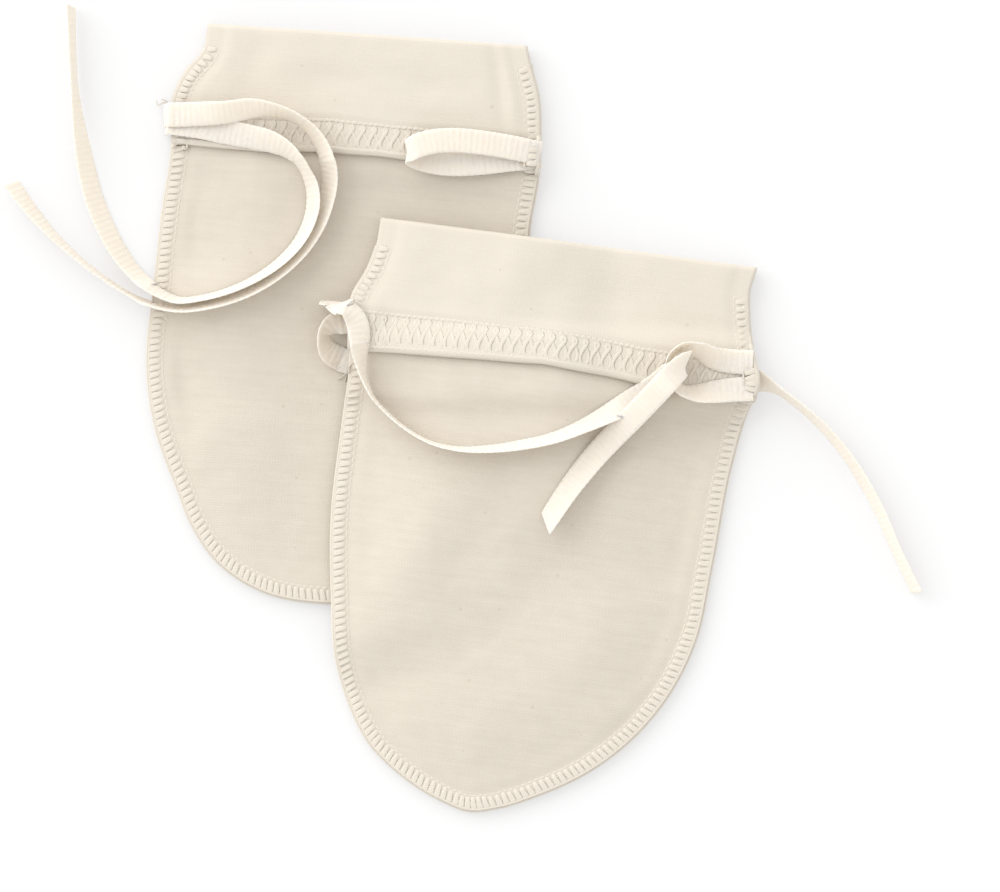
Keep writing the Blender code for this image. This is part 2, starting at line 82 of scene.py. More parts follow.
# Tie tape
TAPE_WIDTH = 5.1
TAPE = 0.45  # its thickness
TAPE_PITCH = 0.9  # from one tape to another crossing on it
TAPE_GAP = 0.2  # between a tape and the cloth under it
EDGE_GAP = 0.3  # and between a tape and the edge of the cloth beside it
RIB = 1.22  # from one crosswise rib to the next
RIB_RISE = 0.07
RIB_STEPS = 6  # rows of the mesh for each rib

# Sewing
OVERLOCK_PITCH = 1.45
OVERLOCK_STEPS = 18  # points of thread in each stitch
NEEDLE_STEPS = 8  # and in each needle stitch beside them
COVER_PITCH = 2.35
COVER_STEPS = 26
COVER_TOP = 19.7  # needle lines of the cover stitch, down from the fold
COVER_FOOT = 24.8
THREAD_SIDES = 6  # points round a plain thread

# Steps of the cloth's mesh
CLOTH_STEP = 0.95
MARGIN_STEPS = 4  # columns in the overlocked margin
FOLD_STEPS = 10  # rows round the cuff fold
SEAM_SAMPLES = 8  # seam points in each span of the table
TAPE_SAMPLES = 12  # points in each span of a tape's route

Section = namedtuple("Section", "down left right")
Crease = namedtuple("Crease", "x down angle length width depth")
Stop = namedtuple("Stop", "x y lift turn")
Bow = namedtuple("Bow", "x at_stitch at_edge")
Mitten = namedtuple("Mitten", "name cuff_x cuff_y tilt round_from sections creases hem sewn_from")
Tape = namedtuple("Tape", "name length far_end slant rests_on across stops")

# Half widths of the rear mitten at each depth; the last row is the tip of the toe.
REAR_SECTIONS = [
    Section(0, 33.5, 33.5),
    Section(5, 34, 35),
    Section(10, 37.5, 36.6),
    Section(17, 40, 37.5),
    Section(25, 39.3, 37.8),
    Section(38, 40.3, 36.6),
    Section(55, 41, 37.5),
    Section(72, 41.4, 38),
    Section(84, 39, 36.8),
    Section(97, 33.4, 32),
    Section(105, 29.5, 27),
    Section(112, 23.8, 20),
    Section(117.3, 14.5, 10.5),
    Section(119, 1, -1),
]

# Half widths of the front mitten, whose right end of the cuff stands out as a point.
FRONT_SECTIONS = [
    Section(0, 39.3, 40),
    Section(5, 39.5, 39.2),
    Section(10, 40.6, 39.8),
    Section(17, 43.2, 41.4),
    Section(24, 42.9, 43.4),
    Section(30, 41.8, 41.9),
    Section(42, 41.7, 40.1),
    Section(63, 41.4, 38.9),
    Section(80, 39.1, 37.3),
    Section(92, 36.8, 32.9),
    Section(101, 33, 27),
    Section(109, 27.6, 18.9),
    Section(115.4, 19, 8.8),
    Section(119, 11, 1),
    Section(120.4, 5, -5),
]

# Folds of each front panel: middle, heading, half length, half width and height.
REAR_CREASES = [
    Crease(28.4, 9.5, 79, 11, 1.7, -0.56),
    Crease(31.3, 9.5, 79, 11, 1.7, 0.62),
    Crease(-23.5, 8, 95, 9, 4, -0.5),
    Crease(-9, 10.5, -8, 10, 3.5, -0.5),
    Crease(13, 9.5, 5, 7, 3.5, -0.44),
    Crease(-22, 43, 5, 15, 9, -1.35),
    Crease(-27, 56, 4, 17, 5.5, 0.9),
    Crease(-23, 75, 6, 19, 8, -1.35),
    Crease(-16, 108, 30, 6, 4, 0.38),
    Crease(-30, 92, 115, 10, 4, 0.45),
]
FRONT_CREASES = [
    Crease(-25, 12, 85, 10, 5, -0.5),
    Crease(-10.5, 8, 95, 8, 4, 0.5),
    Crease(-1, 9, 100, 8, 4, -0.5),
    Crease(9, 10, 0, 10, 3.5, -0.44),
    Crease(6, 38, 5, 15, 5, -0.35),
    Crease(-14, 47, 60, 15, 8, 0.75),
    Crease(6, 43, 95, 20, 11, 0.9),
    Crease(26, 44, 92, 22, 9, -1.5),
    Crease(13, 66, 5, 20, 7, -0.9),
    Crease(-23.5, 67, 118, 23, 7.5, 1.05),
    Crease(-12.5, 73, 118, 24, 7.5, -0.9),
    Crease(28, 71, 0, 7, 3.5, 0.45),
    Crease(22, 97, -20, 8, 4, 0.45),
    Crease(-18, 105, 40, 8, 4, 0.45),
    Crease(12, 84, 70, 12, 7, 0.45),
]

# How far the cover stitch and the raw edge of each turned cuff run below their usual depth.
REAR_HEM = [
    Bow(-42, -0.6, -0.9),
    Bow(-20, -0.7, -0.3),
    Bow(-6, -1.3, -1.3),
    Bow(5, -0.9, -0.9),
    Bow(20, -0.4, -0.4),
    Bow(40, 0, 0),
]
FRONT_HEM = [
    Bow(-45, 0.2, 2),
    Bow(-38, 0.1, 1.7),
    Bow(-21, -0.3, 0.5),
    Bow(-2, -0.7, -0.6),
    Bow(11, -0.3, 0.1),
    Bow(18, 0.3, 1),
    Bow(45, 0.8, 1.9),
]

# The last pair is the length of fold left unsewn at each end of the overlock.
REAR = Mitten(
    "rear_mitten", -17.6, 79.4, 4.0, 74.0, REAR_SECTIONS, REAR_CREASES, REAR_HEM, (4.4, 3.2)
)
FRONT = Mitten(
    "front_mitten", 24.2, 35.9, 7.5, 76.0, FRONT_SECTIONS, FRONT_CREASES, FRONT_HEM, (5.6, 5.8)
)

# Routes of the tapes on the table. Lift is the height over what the tape lies on, and turn is
# how far the tape leans from lying flat, in degrees.
REAR_OUTER_TAIL = [
    Stop(-60.2, 62.8, 1.2, 0),
    Stop(-53.3, 62.9, 1.2, 8),
    Stop(-46.6, 63.2, 1.3, 28),
    Stop(-41.6, 63.9, 0.8, 38),
    Stop(-37.4, 63.6, 0.3, 56),
    Stop(-31.8, 61.6, 0, 68),
    Stop(-28.4, 58.5, 0, 60),
    Stop(-26.2, 54.3, 0, 52),
    Stop(-25.4, 49.3, 0, 48),
    Stop(-26.3, 44.6, 0, 45),
    Stop(-27.9, 40.3, 0, 44),
    Stop(-30.4, 36, 0, 47),
    Stop(-34.1, 31.8, 0, 51),
    Stop(-39, 27.9, 0, 56),
    Stop(-44.9, 24.8, 0, 62),
    Stop(-51, 23.1, 0, 66),
    Stop(-56.8, 22.4, 0, 71),
    Stop(-62.3, 23.2, 0.2, 76),
    Stop(-66.6, 25, 0.2, 80),
    Stop(-72.5, 28.6, 0, 80),
    Stop(-77.9, 32.7, 0, 78),
    Stop(-83, 37.4, 0, 72),
    Stop(-87.5, 42.4, 0, 62),
    Stop(-92.3, 48.8, 0, 54),
]
REAR_INNER_TAIL = [
    Stop(-59.8, 61.4, 0.3, 0),
    Stop(-53.3, 60.5, 0.2, 0),
    Stop(-46.6, 59.1, 0, 3),
    Stop(-41.6, 58.1, 0, 14),
    Stop(-37.4, 57, 0, 32),
    Stop(-33.7, 55, 0, 54),
    Stop(-31, 52, 0, 68),
    Stop(-29.2, 48.2, 0, 58),
    Stop(-28.9, 44, 0, 54),
    Stop(-30, 39.8, 0, 57),
    Stop(-32.2, 35.9, 0, 61),
    Stop(-35.7, 32.2, 0, 65),
    Stop(-40.3, 28.9, 0, 70),
    Stop(-45.9, 26.2, 0, 73),
    Stop(-51.8, 24.6, 0, 75),
    Stop(-57.4, 24.2, 0, 73),
    Stop(-61.7, 26, 0, 66),
    Stop(-65.4, 29, 0, 56),
    Stop(-69.5, 34, 0, 46),
    Stop(-72.6, 39.7, 0, 42),
    Stop(-74.9, 45.5, 0, 42),
    Stop(-76.4, 51.5, 0, 46),
    Stop(-77.5, 57.5, 0, 57),
    Stop(-78.4, 63.5, 0, 70),
    Stop(-79, 69.4, 0, 78),
    Stop(-79.4, 76, 0, 78),
    Stop(-79.7, 85.8, 0, 75),
]
REAR_LOOP = [
    Stop(18.6, 54.3, 0, 0),
    Stop(12, 53.5, 0, 0),
    Stop(5, 52.7, 0, 0),
    Stop(-1, 52.6, 0.1, 0),
    Stop(-5.2, 53.3, 0.4, 0),
    Stop(-8.1, 54.3, 1, 0),
    Stop(-9.1, 54.9, 2, 0),
    Stop(-8.1, 55.6, 3, 0),
    Stop(-4.8, 56.8, 3.3, 0),
    Stop(0, 57.3, 3, 0),
    Stop(6, 56.9, 2.2, 0),
    Stop(12, 56, 1.5, 0),
    Stop(18.6, 54.7, 0.9, 0),
]
FRONT_LOOP = [
    Stop(62.8, 5.6, 0, 0),
    Stop(58.4, 5.4, 0, 8),
    Stop(54.2, 4.9, 0, 26),
    Stop(50.4, 4.6, 0.2, 48),
    Stop(47.2, 5.6, 1.1, 66),
    Stop(45.2, 8.4, 1.3, 74),
    Stop(45.3, 11.8, 1.3, 76),
    Stop(48, 14.2, 0.9, 72),
    Stop(51.4, 13.7, 0.3, 50),
    Stop(54.8, 12, 0, 24),
    Stop(58.6, 11.3, 0, 6),
    Stop(62.8, 11.1, 0, 0),
]
FRONT_THREADED_TAIL = [
    Stop(-27.4, 23.7, 0.6, -80),
    Stop(-24.4, 23.2, 0.8, -72),
    Stop(-21.4, 22, 0.9, -44),
    Stop(-19.6, 19.4, 0.8, -26),
    Stop(-19, 15.8, 0.5, -34),
    Stop(-18.8, 12, 0.2, -56),
    Stop(-18.2, 8, 0, -76),
    Stop(-16.4, 4, 0, -84),
    Stop(-13, 0.2, 0, -85),
    Stop(-9, -3, 0, -85),
    Stop(-4.2, -5.6, 0, -84),
    Stop(1.4, -6.9, 0, -80),
    Stop(8, -6.9, 0, -73),
    Stop(14.4, -6.1, 0, -67),
    Stop(21.3, -4.6, 0, -63),
    Stop(27.4, -2.2, 0, -55),
    Stop(33, 0.6, 0, -36),
    Stop(38, 3.4, 0, -12),
    Stop(42, 5.8, 0, -3),
    Stop(45, 8.2, 0, 0),
    Stop(47.3, 10.1, 0.2, -26),
    Stop(48.8, 11.2, 2.6, -60),
    Stop(47.8, 10.4, 5.4, -35),
    Stop(45.2, 7.7, 6.4, 0),
    Stop(41.8, 4, 5.2, 0),
    Stop(37.4, -0.6, 3.6, 0),
    Stop(33.4, -4.6, 2, 4),
    Stop(30.6, -7.6, 0.9, 12),
    Stop(25.2, -14.2, 0, 26),
    Stop(19.6, -22.4, 0, 38),
]
FRONT_HIDDEN_TAIL = [
    Stop(-22.1, 19.7, 1.8, 0),
    Stop(-24.8, 19, 1, -34),
    Stop(-26.6, 16.8, 0.1, -60),
    Stop(-25.8, 13.6, 0, -34),
    Stop(-23.2, 11.9, 0, 0),
    Stop(-12, 10.4, 0, 0),
    Stop(0, 9.8, 0, 0),
    Stop(16, 10, 0, 0),
    Stop(32, 10, 0, 0),
    Stop(48, 9.4, 0, 0),
    Stop(59, 8.4, 0, 0),
    Stop(62.6, 7.8, 0, 10),
    Stop(65.4, 6.9, 0, 48),
    Stop(68.2, 5.4, 0, 72),
    Stop(71.8, 2.8, 0, 76),
    Stop(76.2, -0.9, 0, 74),
    Stop(81, -6.1, 0, 71),
    Stop(85.6, -12.7, 0, 69),
    Stop(89.6, -20, 0, 69),
    Stop(93.2, -28.4, 0, 71),
    Stop(97.4, -37, 0, 70),
]

# The slant is how far one side of a cut end runs on past its middle. A direction across is
# given only for the tape that folds over flat.
TAPES = [
    Tape("rear_mitten_outer_tail", 0.139, "bare", 0.3, [REAR], None, REAR_OUTER_TAIL),
    Tape("rear_mitten_inner_tail", 0.152, "bare", 0.2, [REAR], None, REAR_INNER_TAIL),
    Tape("rear_mitten_loop", 0.058, "object", 0.0, [REAR], (0.0, 1.0, 0.0), REAR_LOOP),
    Tape("front_mitten_threaded_tail", 0.154, "bare", -1.4, [REAR, FRONT], None, FRONT_THREADED_TAIL),
    Tape("front_mitten_hidden_tail", 0.158, "bare", 0.2, [REAR], None, FRONT_HIDDEN_TAIL),
    Tape("front_mitten_loop", 0.042, "object", 0.0, [FRONT], None, FRONT_LOOP),
]


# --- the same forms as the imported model, in finer steps ---


def ease(t):
    """0 below 0, 1 above 1, and a smooth rise between."""
    t = np.clip(t, 0.0, 1.0)
    return t * t * (3.0 - 2.0 * t)


def smooth(rows, samples):
    """Rows read from a smooth curve through the given ones, with the same number in each span."""
    rows = np.array(rows, float)
    span = np.linalg.norm(np.diff(rows[:, :3], axis=0), axis=1)[:, None]
    slope = np.diff(rows, axis=0) / span
    inner = (slope[:-1] * span[1:] + slope[1:] * span[:-1]) / (span[1:] + span[:-1])
    tangent = np.concatenate([slope[:1], inner, slope[-1:]])
    t = (np.arange(samples) / samples)[:, None]
    pieces = []
    for i, length in enumerate(span):
        places = (2 * t**3 - 3 * t**2 + 1) * rows[i] + (3 * t**2 - 2 * t**3) * rows[i + 1]
        slopes = (t**3 - 2 * t**2 + t) * tangent[i] + (t**3 - t**2) * tangent[i + 1]
        pieces.append(places + slopes * length)
    return np.concatenate([*pieces, rows[-1:]])


def unit(rows):
    """Each row as a direction of length one."""
    return rows / np.linalg.norm(rows, axis=1)[:, None]


def run_along(line):
    """Length from the start of a line to each of its points."""
    return np.concatenate([[0.0], np.cumsum(np.linalg.norm(np.diff(line, axis=0), axis=1))])


def read_at(line, run, at):
    """Rows of a line at the given lengths along it."""
    return np.column_stack([np.interp(at, run, column) for column in line.T])


def seam_line(mitten):
    """The overlocked edge, from the left end of the cuff round the toe to the right end."""
    left = [(-s.left, s.down, 0.0) for s in mitten.sections]
    right = [(s.right, s.down, 0.0) for s in reversed(mitten.sections[:-1])]
    return smooth(left + right, SEAM_SAMPLES)[:, :2]


def half_widths(mitten, down):
    """Left and right half widths of a mitten at a depth."""
    rows = np.array(mitten.sections)
    return [np.interp(down, rows[:, 0], rows[:, i]) for i in (1, 2)]


def distance(line, x, y):
    """Distance from each point to a line of points."""
    start, along = line[:-1], np.diff(line, axis=0)
    away = np.stack([x, y], axis=-1)[..., None, :] - start
    share = np.clip((away * along).sum(-1) / (along * along).sum(-1), 0.0, 1.0)
    return np.linalg.norm(away - share[..., None] * along, axis=-1).min(-1)


def inward(line, x, y):
    """Distance from each point to a line whose ends join, positive inside it."""
    loop = np.concatenate([line, line[:1]])
    (x0, y0), (x1, y1) = loop[:-1].T, loop[1:].T
    level = y[..., None]
    beside = (y0 > level) != (y1 > level)
    rise = np.where(y1 == y0, 1.0, y1 - y0)
    crossed = beside & (x[..., None] < x0 + (level - y0) * (x1 - x0) / rise)
    sign = np.where(crossed.sum(-1) % 2 == 1, 1.0, -1.0)
    return sign * distance(loop, x, y)


def cos_sin(degrees):
    """Cosine and sine of an angle."""
    return math.cos(math.radians(degrees)), math.sin(math.radians(degrees))


def to_table(mitten, x, down):
    """A point of a mitten's own frame in the table's."""
    c, s = cos_sin(mitten.tilt)
    return mitten.cuff_x + c * x - s * down, mitten.cuff_y - s * x - c * down


def in_space(mitten, x, down, z):
    """Points in space, from places in a mitten's own frame and heights."""
    return np.column_stack([*to_table(mitten, x, down), z])


def to_mitten(mitten, x, y):
    """A point of the table's frame in a mitten's own."""
    c, s = cos_sin(mitten.tilt)
    east, north = x - mitten.cuff_x, y - mitten.cuff_y
    return c * east - s * north, -s * east - c * north


def table_outline(mitten):
    """A mitten's outline in the table's frame."""
    return np.stack(to_table(mitten, *seam_line(mitten).T), axis=-1)


def ground(mitten, x, y):
    """Height of what a mitten's underside lies on."""
    if mitten is REAR:
        return np.zeros_like(x)
    beyond = -inward(table_outline(REAR), x, y) - DRAPE_MARGIN
    over_rear = 2 * PITCH * (1.0 - ease(beyond / DRAPE_FALL))
    hidden = np.array([(stop.x, stop.y) for stop in FRONT_HIDDEN_TAIL])
    beside = distance(hidden, x, y) - TAPE_WIDTH
    from_exit = np.hypot(x - TAIL_EXIT[0], y - TAIL_EXIT[1])
    over_tape = OVER_TAPE * (1.0 - ease(beside / TAPE_WIDTH))
    return over_rear + over_tape + EXIT_RISE * (1.0 - ease(from_exit / EXIT_REACH))


def ripple(x, down, size, seed):
    """Smooth noise over the cloth with waves of about the given size, from -1 to 1."""
    flat = zip(np.ravel(x) / size, np.ravel(down) / size)
    values = [noise.noise(Vector((u, v, seed))) for u, v in flat]
    return np.array(values).reshape(np.shape(x))


def loft(mitten, x, down):
    """Air between a mitten's panels, with the folds that stand up or sink in the front one."""
    inside = distance(seam_line(mitten), x, down) - SEAM_WIDTH
    belly = CUFF_LOFT + (BODY_LOFT - CUFF_LOFT) * ease((down - HEM_DEPTH + BODY_START) / BODY_RISE)
    height = belly * ease(inside / LOFT_RISE) ** LOFT_FULLNESS
    for fold in mitten.creases:
        c, s = cos_sin(fold.angle)
        along = (c * (x - fold.x) + s * (down - fold.down)) / fold.length
        across = (c * (down - fold.down) - s * (x - fold.x)) / fold.width
        height = height + fold.depth * np.exp(-(along**2) - across**2) * ease(inside / CREASE_END)
    seed = mitten.tilt
    (broad, broad_size), (small, small_size) = BROAD_WAVES, SMALL_WAVES
    waves = broad * ripple(x, down, broad_size, seed)
    waves = waves + small * ripple(x, down * 1.6, small_size, seed + 9.0)
    height = height + waves * ease(inside / WAVE_END)
    height = height - PUCKER * np.exp(-(((inside - PUCKER_INSET) / PUCKER_WIDE) ** 2))
    if mitten is REAR:
        outside = -inward(table_outline(FRONT), *to_table(mitten, x, down))
        height = height * ease((outside - DRAPE_MARGIN) / PRESSED_REACH)
    return np.maximum(height, SQUEEZED - PITCH)


def layer_pitch(mitten, x, down):
    """From the middle of one layer to the next, less where the overlock presses them."""
    edge = distance(seam_line(mitten), x, down)
    return SQUEEZED + (PITCH - SQUEEZED) * ease(edge / SQUEEZE_REACH)


def back_height(mitten, x, down):
    """Middle of the back panel's body: on its turned cuff, then on the ground."""
    on_hem = 1.0 - ease((down - HEM_DEPTH) / HEM_RAMP)
    sewn = 1.0 - ease((distance(seam_line(mitten), x, down) - SEAM_WIDTH) / SEAM_REACH)
    lies_on = ground(mitten, *to_table(mitten, x, down)) + WALL / 2
    return lies_on + SEAM_LIFT * sewn + layer_pitch(mitten, x, down) * on_hem


def front_height(mitten, x, down):
    """Middle of the front panel's body."""
    pitch = layer_pitch(mitten, x, down)
    return back_height(mitten, x, down) + pitch + loft(mitten, x, down)


def top_height(mittens, x, y):
    """Top of the cloth at points of the table, and 0 where there is none."""
    top = np.zeros_like(x)
    for mitten in mittens:
        own_x, down = to_mitten(mitten, x, y)
        turned = np.where(down < HEM_DEPTH + EDGE_GAP, layer_pitch(mitten, own_x, down), 0.0)
        cloth = front_height(mitten, own_x, down) + turned + WALL / 2
        inside = inward(seam_line(mitten), own_x, down) > -EDGE_GAP
        top = np.maximum(top, np.where(inside, cloth, 0.0))
    return top


# --- stage, camera and light ---


def paint(shader, **values):
    """Set a shader's own sockets, with underscores for the spaces in their names."""
    for name, value in values.items():
        shader.inputs[name.replace("_", " ")].default_value = value


def build_stage():
    """A pale table that glows a little, a broad light from the upper left and a white surround."""
    bpy.ops.mesh.primitive_plane_add(size=TABLE_SIZE, location=(0.0, 0.0, -TABLE_DROP))
    table = bpy.context.active_object
    table.name = "table"
    material, _, shader = new_material("table_white")
    grey = (TABLE_SHARE, TABLE_SHARE, TABLE_SHARE, 1.0)
    paint(shader, Base_Color=grey, Roughness=0.9, Specular_IOR_Level=0.0)
    paint(shader, Emission_Color=(1.0, 1.0, 1.0, 1.0), Emission_Strength=TABLE_GLOW)
    table.data.materials.append(material)

    world = bpy.data.worlds.new("surround")
    world.use_nodes = True
    paint(world.node_tree.nodes["Background"], Color=(1.0, 1.0, 1.0, 1.0), Strength=SURROUND)
    bpy.context.scene.world = world

    light = bpy.data.lights.new("window", "SUN")
    light.energy = WINDOW
    light.angle = math.radians(WINDOW_SPREAD)
    lamp = bpy.data.objects.new("window", light)
    lamp.rotation_euler = Vector(WINDOW_FROM).to_track_quat("Z", "Y").to_euler()
    bpy.context.scene.collection.objects.link(lamp)


def build_camera():
    """Straight down, with the pair a little left of and above the middle of the view."""
    camera = bpy.data.cameras.new("camera")
    camera.lens = LENS
    camera.sensor_width = SENSOR
    camera.clip_end = 10.0
    eye = bpy.data.objects.new("camera", camera)
    eye.location = (*VIEW_CENTRE, VIEW_WIDTH * LENS / SENSOR)
    bpy.context.scene.collection.objects.link(eye)
    bpy.context.scene.camera = eye
    bpy.context.scene.view_settings.view_transform = "Standard"


TABLE_SIZE = 6.0
TABLE_DROP = 0.0002  # keeps the table just clear of the cloth that rests on it
SURROUND = 1.07
WINDOW = 2.3
WINDOW_FROM = (-0.60, 0.62, 0.36)
WINDOW_SPREAD = 75.0  # degrees across
TABLE_SHARE = 0.45  # of the light that the table throws back
TABLE_GLOW = 0.41
LENS = 150.0
SENSOR = 36.0
VIEW_CENTRE = (0.0101, -0.0063)
VIEW_WIDTH = 0.210


# --- materials ---


def new_material(name):
    """A material with its node tree and shader."""
    material = bpy.data.materials.new(name)
    material.use_nodes = True
    tree = material.node_tree
    shader = tree.nodes["Principled BSDF"]
    return material, tree, shader


def node(tree, kind, links=None, **settings):
    """A shader node with its settings, and its inputs set from values or other sockets."""
    made = tree.nodes.new(kind)
    for name, value in settings.items():
        setattr(made, name, value)
    for key, value in (links or {}).items():
        if isinstance(value, bpy.types.NodeSocket):
            tree.links.new(value, made.inputs[key])
        else:
            made.inputs[key].default_value = value
    return made


def maths(tree, operation, a, b=0.0, c=0.0):
    """One step of arithmetic on sockets or numbers."""
    return node(tree, "ShaderNodeMath", {0: a, 1: b, 2: c}, operation=operation).outputs[0]


def blend(tree, kind, share, a, b):
    """Two colours mixed by a share."""
    mix = node(tree, "ShaderNodeMix", {"Factor": share}, data_type="RGBA", blend_type=kind)
    for name, value in (("A", a), ("B", b)):
        socket = [s for s in mix.inputs if s.name == name and s.type == "RGBA"][0]
        if isinstance(value, bpy.types.NodeSocket):
            tree.links.new(value, socket)
        else:
            socket.default_value = value
    return [s for s in mix.outputs if s.type == "RGBA"][0]


def cloth_place(tree):
    """The cloth's own flat place, in millimetres from the middle of the cuff fold."""
    uv = node(tree, "ShaderNodeUVMap", uv_map="cut").outputs[0]
    parts = node(tree, "ShaderNodeSeparateXYZ", {0: uv})
    x = maths(tree, "MULTIPLY", parts.outputs[0], UV_SPAN)
    down = maths(tree, "MULTIPLY", parts.outputs[1], UV_SPAN)
    place = node(tree, "ShaderNodeCombineXYZ", {0: x, 1: down})
    return x, down, place.outputs[0]


def noise_at(tree, place, scale, detail=3.0, stretch=(1.0, 1.0, 1.0)):
    """Noise from 0 to 1 over a place in millimetres, with waves of 1 / scale."""
    mapped = node(tree, "ShaderNodeMapping", {"Vector": place, "Scale": stretch})
    settings = {"Vector": mapped.outputs[0], "Scale": scale, "Detail": detail}
    return node(tree, "ShaderNodeTexNoise", settings).outputs[0]


def dress(tree, shader, colour, relief, strength, depth):
    """Wire a colour and a fine relief into a shader."""
    tree.links.new(colour, shader.inputs["Base Color"])
    bump = {"Height": relief, "Strength": strength, "Distance": depth}
    tree.links.new(node(tree, "ShaderNodeBump", bump).outputs[0], shader.inputs["Normal"])


def jersey_material():
    """Undyed cotton jersey: V-shaped stitches in wales, slubby courses, small neps and fuzz.

    The turned cuff is paler: the cloth's reverse, and painted light against the body's shade.
    """
    material, tree, shader = new_material("jersey")
    x, down, place = cloth_place(tree)

    wale = maths(tree, "FRACT", maths(tree, "DIVIDE", x, WALE))
    side = maths(tree, "ABSOLUTE", maths(tree, "MULTIPLY_ADD", wale, 2.0, -1.0))
    course = maths(tree, "DIVIDE", down, COURSE)
    slant = maths(tree, "MULTIPLY_ADD", side, 0.5, course)
    turn = maths(tree, "SINE", maths(tree, "MULTIPLY", slant, 2 * math.pi))
    leg = maths(tree, "MULTIPLY_ADD", turn, 0.5, 0.5)
    groove = maths(tree, "SUBTRACT", 1.0, maths(tree, "POWER", side, 3.0))
    knit = maths(tree, "MULTIPLY", leg, groove)

    slub = noise_at(tree, place, 0.8, 4.0, (0.10, 1.3, 1.0))
    pile = noise_at(tree, place, 1.1, 6.0)
    felt = noise_at(tree, place, 0.28, 3.0)
    nep = node(tree, "ShaderNodeTexVoronoi", {"Vector": place, "Scale": 0.16}).outputs["Distance"]
    nep = maths(tree, "LESS_THAN", nep, 0.06)

    light, shade = JERSEY_COLOURS
    tone = maths(tree, "MULTIPLY_ADD", slub, 0.55, maths(tree, "MULTIPLY", felt, 0.45))
    tone = maths(tree, "MULTIPLY_ADD", knit, 0.25, tone)
    tone = node(tree, "ShaderNodeMapRange", {0: tone, 1: 0.35, 2: 0.85}).outputs[0]
    colour = blend(tree, "MIX", tone, shade, light)
    # paler on the turned cuff: the cloth's reverse, and painted light against the shade of the body
    on_cuff = maths(tree, "LESS_THAN", down, 0.0)
    colour = blend(tree, "MIX", maths(tree, "MULTIPLY", on_cuff, 0.6), colour, REVERSE_AND_PAINTED_LIGHT_COLOUR)
    colour = blend(tree, "MIX", maths(tree, "MULTIPLY", nep, 0.35), colour, NEP_COLOUR)

    relief = maths(tree, "MULTIPLY_ADD", pile, 0.55, maths(tree, "MULTIPLY", knit, 0.45))
    relief = maths(tree, "MULTIPLY_ADD", slub, 0.5, relief)
    dress(tree, shader, colour, relief, 0.35, 0.16 * MM)
    paint(shader, Roughness=0.95, Specular_IOR_Level=0.15)
    paint(shader, Sheen_Weight=0.25, Sheen_Roughness=0.5, Sheen_Tint=(1.0, 0.96, 0.9, 1.0))
    return material


def tape_material():
    """Thin cotton tape that lets light through, with fine warp threads; its ribs are in the mesh."""
    material, tree, shader = new_material("tie_tape")
    x, _, place = cloth_place(tree)
    warp = maths(tree, "SINE", maths(tree, "MULTIPLY", x, 2 * math.pi / WARP))
    pile = noise_at(tree, place, 1.6, 5.0)
    tone = noise_at(tree, place, 0.3, 3.0, (1.0, 0.5, 1.0))
    light, shade = TAPE_COLOURS
    colour = blend(tree, "MIX", tone, shade, light)
    relief = maths(tree, "MULTIPLY_ADD", warp, 0.25, pile)
    dress(tree, shader, colour, relief, 0.3, 0.12 * MM)
    paint(shader, Roughness=0.85, Specular_IOR_Level=0.25)
    paint(shader, Sheen_Weight=0.15, Sheen_Roughness=0.5)
    paint(shader, Subsurface_Weight=0.6, Subsurface_Radius=(1.0, 0.9, 0.75))
    paint(shader, Subsurface_Scale=0.0012)
    return material


def thread_material():
    """Soft cotton sewing thread with its twist."""
    material, tree, shader = new_material("sewing_thread")
    x, down, place = cloth_place(tree)
    twist = maths(tree, "MULTIPLY_ADD", down, 1.0 / TWIST, maths(tree, "DIVIDE", x, TWIST_GIRTH))
    ply = maths(tree, "SINE", maths(tree, "MULTIPLY", twist, 2 * math.pi))
    pile = noise_at(tree, place, 3.0, 4.0)
    light, shade = THREAD_COLOURS
    colour = blend(tree, "MIX", maths(tree, "MULTIPLY_ADD", ply, 0.25, pile), shade, light)
    relief = maths(tree, "MULTIPLY_ADD", ply, 0.5, pile)
    dress(tree, shader, colour, relief, 0.4, 0.1 * MM)
    paint(shader, Roughness=0.9, Specular_IOR_Level=0.2, Sheen_Weight=0.2, Sheen_Roughness=0.5)
    return material


UV_SPAN = 400.0  # millimetres of cloth across the unit square of its UV map
WALE = 0.62
COURSE = 0.52
WARP = 0.32  # from one warp thread of the tape to the next
TWIST = 0.42  # length of sewing thread from one ply to the next
TWIST_GIRTH = 0.9  # the same measured round it
# The body's colours and the cuff's paler one: the step between them is partly the cloth's reverse,
# partly painted light against the body's shade
JERSEY_COLOURS = ((0.636, 0.583, 0.500, 1.0), (0.582, 0.529, 0.450, 1.0))
REVERSE_AND_PAINTED_LIGHT_COLOUR = (0.680, 0.627, 0.543, 1.0)
NEP_COLOUR = (0.50, 0.42, 0.31, 1.0)
TAPE_COLOURS = ((0.785, 0.718, 0.635, 1.0), (0.750, 0.682, 0.598, 1.0))
THREAD_COLOURS = ((0.700, 0.645, 0.560, 1.0), (0.660, 0.604, 0.520, 1.0))


# --- mesh helpers ---


def build_mesh(name, points, faces, flat, material):
    """A smooth mesh from millimetres, with each point's flat place as its UV map."""
    mesh = bpy.data.meshes.new(name)
    mesh.from_pydata((np.asarray(points) * MM).tolist(), [], faces)
    layer = mesh.uv_layers.new(name="cut")
    corner = np.empty(len(mesh.loops), int)
    mesh.loops.foreach_get("vertex_index", corner)
    layer.data.foreach_set("uv", (np.asarray(flat)[corner] / UV_SPAN).ravel())
    mesh.materials.append(material)
    mesh.shade_smooth()
    piece = bpy.data.objects.new(name, mesh)
    bpy.context.scene.collection.objects.link(piece)
    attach(piece, "root")
    return piece


def ring_faces(rows, around):
    """Quads of a tube of rings, and a cap at each end."""
    faces = []
    for row in range(rows - 1):
        for i in range(around):
            j = (i + 1) % around
            a, b = row * around, (row + 1) * around
            faces.append((a + i, a + j, b + j, b + i))
    faces.append(tuple(range(around - 1, -1, -1)))
    faces.append(tuple(range((rows - 1) * around, rows * around)))
    return faces


